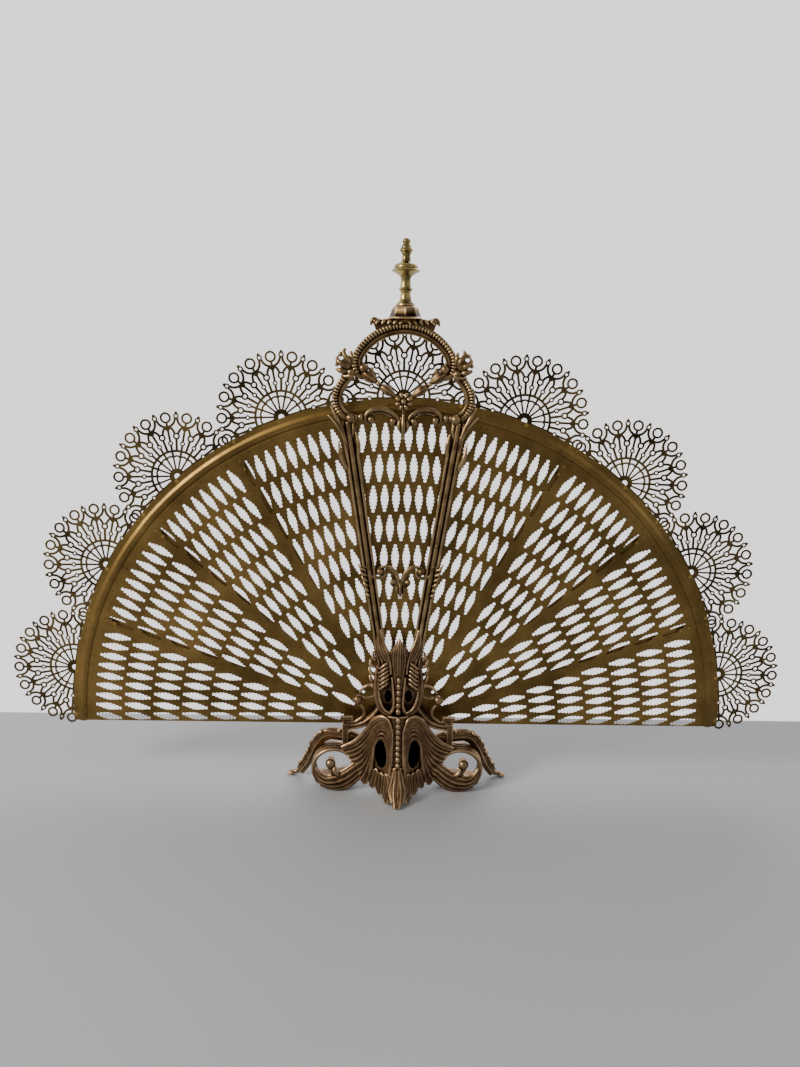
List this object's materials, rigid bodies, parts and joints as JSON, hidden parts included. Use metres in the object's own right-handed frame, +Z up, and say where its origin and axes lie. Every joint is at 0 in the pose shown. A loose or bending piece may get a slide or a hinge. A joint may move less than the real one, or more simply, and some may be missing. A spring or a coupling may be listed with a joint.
{
  "type": "folding fan fireplace screen",
  "caption": "Folding fan fireplace screen of pierced brass leaves with fretwork rosettes, pivoting behind a cast frame with a finial and a leafy base.",
  "frame": {"origin": "on the floor, under the middle of the whole object's box", "axes": "+Z up, +X to the right seen from the front, +Y from the front to the back"},
  "size_m": [0.9582, 0.09, 0.664],
  "materials": {
    "brass_sheet": "aged satin",
    "brass_fretwork": "aged satin, darkened",
    "brass_rivets": "worn bright",
    "turned_brass": "turned, lightly tarnished",
    "steel_fixings": "plain",
    "cast_brass_base": "cast, brown patina with rubbed edges",
    "cast_brass_frame": "cast, brown patina with rubbed edges"
  },
  "bodies": {
    "root": {"acanthus_foot": "cast_brass_base", "mask_piece": "cast_brass_frame", "volute_left": "cast_brass_base", "volute_right": "cast_brass_base", "tail_foot_left": "cast_brass_base", "tail_foot_right": "cast_brass_base", "rest_bracket_left": "cast_brass_frame", "rest_bracket_right": "cast_brass_frame", "rear_yoke": "cast_brass_base", "upright_left": "cast_brass_frame", "upright_right": "cast_brass_frame", "arch_handle": "cast_brass_frame", "lobe_left": "cast_brass_frame", "lobe_right": "cast_brass_frame", "lower_scroll_bar": "cast_brass_frame", "flower_and_husks": "cast_brass_frame", "canopy_leaf": "cast_brass_frame", "mid_crossbar": "cast_brass_frame", "bell_cap": "turned_brass", "finial": "turned_brass", "finial_rod": "steel_fixings", "pivot_stud": "steel_fixings", "pivot_nut": "turned_brass", "spacer_washers": "steel_fixings", "yoke_screws": "steel_fixings", "leaf_centre": "brass_sheet", "rosette_centre": "brass_fretwork", "rivets_centre": "brass_rivets", "clips_centre": "brass_rivets"},
    "left_leaf_1": {"leaf_left_1": "brass_sheet", "rosette_left_1": "brass_fretwork", "rivets_left_1": "brass_rivets", "clip_left_1": "brass_rivets"},
    "left_leaf_2": {"leaf_left_2": "brass_sheet", "rosette_left_2": "brass_fretwork", "rivets_left_2": "brass_rivets", "clip_left_2": "brass_rivets"},
    "left_leaf_3": {"leaf_left_3": "brass_sheet", "rosette_left_3": "brass_fretwork", "rivets_left_3": "brass_rivets", "clip_left_3": "brass_rivets"},
    "left_leaf_4": {"leaf_left_4": "brass_sheet", "rosette_left_4": "brass_fretwork", "rivets_left_4": "brass_rivets"},
    "right_leaf_1": {"leaf_right_1": "brass_sheet", "rosette_right_1": "brass_fretwork", "rivets_right_1": "brass_rivets", "clip_right_1": "brass_rivets"},
    "right_leaf_2": {"leaf_right_2": "brass_sheet", "rosette_right_2": "brass_fretwork", "rivets_right_2": "brass_rivets", "clip_right_2": "brass_rivets"},
    "right_leaf_3": {"leaf_right_3": "brass_sheet", "rosette_right_3": "brass_fretwork", "rivets_right_3": "brass_rivets", "clip_right_3": "brass_rivets"},
    "right_leaf_4": {"leaf_right_4": "brass_sheet", "rosette_right_4": "brass_fretwork", "rivets_right_4": "brass_rivets"}
  },
  "joints": [
    {"name": "left_fold_1", "type": "hinge", "parent": "root", "child": "left_leaf_1", "pos_m": [0, 0.017, 0.08], "axis": [0, 1, 0], "range_deg": [0, 18.6]},
    {"name": "left_fold_2", "type": "hinge", "parent": "left_leaf_1", "child": "left_leaf_2", "pos_m": [0, 0.017, 0.08], "axis": [0, 1, 0], "range_deg": [0, 18.6]},
    {"name": "left_fold_3", "type": "hinge", "parent": "left_leaf_2", "child": "left_leaf_3", "pos_m": [0, 0.017, 0.08], "axis": [0, 1, 0], "range_deg": [0, 18.6]},
    {"name": "left_fold_4", "type": "hinge", "parent": "left_leaf_3", "child": "left_leaf_4", "pos_m": [0, 0.017, 0.08], "axis": [0, 1, 0], "range_deg": [0, 18.6]},
    {"name": "right_fold_1", "type": "hinge", "parent": "root", "child": "right_leaf_1", "pos_m": [0, 0.017, 0.08], "axis": [0, -1, 0], "range_deg": [0, 18.6]},
    {"name": "right_fold_2", "type": "hinge", "parent": "right_leaf_1", "child": "right_leaf_2", "pos_m": [0, 0.017, 0.08], "axis": [0, -1, 0], "range_deg": [0, 18.6]},
    {"name": "right_fold_3", "type": "hinge", "parent": "right_leaf_2", "child": "right_leaf_3", "pos_m": [0, 0.017, 0.08], "axis": [0, -1, 0], "range_deg": [0, 18.6]},
    {"name": "right_fold_4", "type": "hinge", "parent": "right_leaf_3", "child": "right_leaf_4", "pos_m": [0, 0.017, 0.08], "axis": [0, -1, 0], "range_deg": [0, 18.6]}
  ]
}
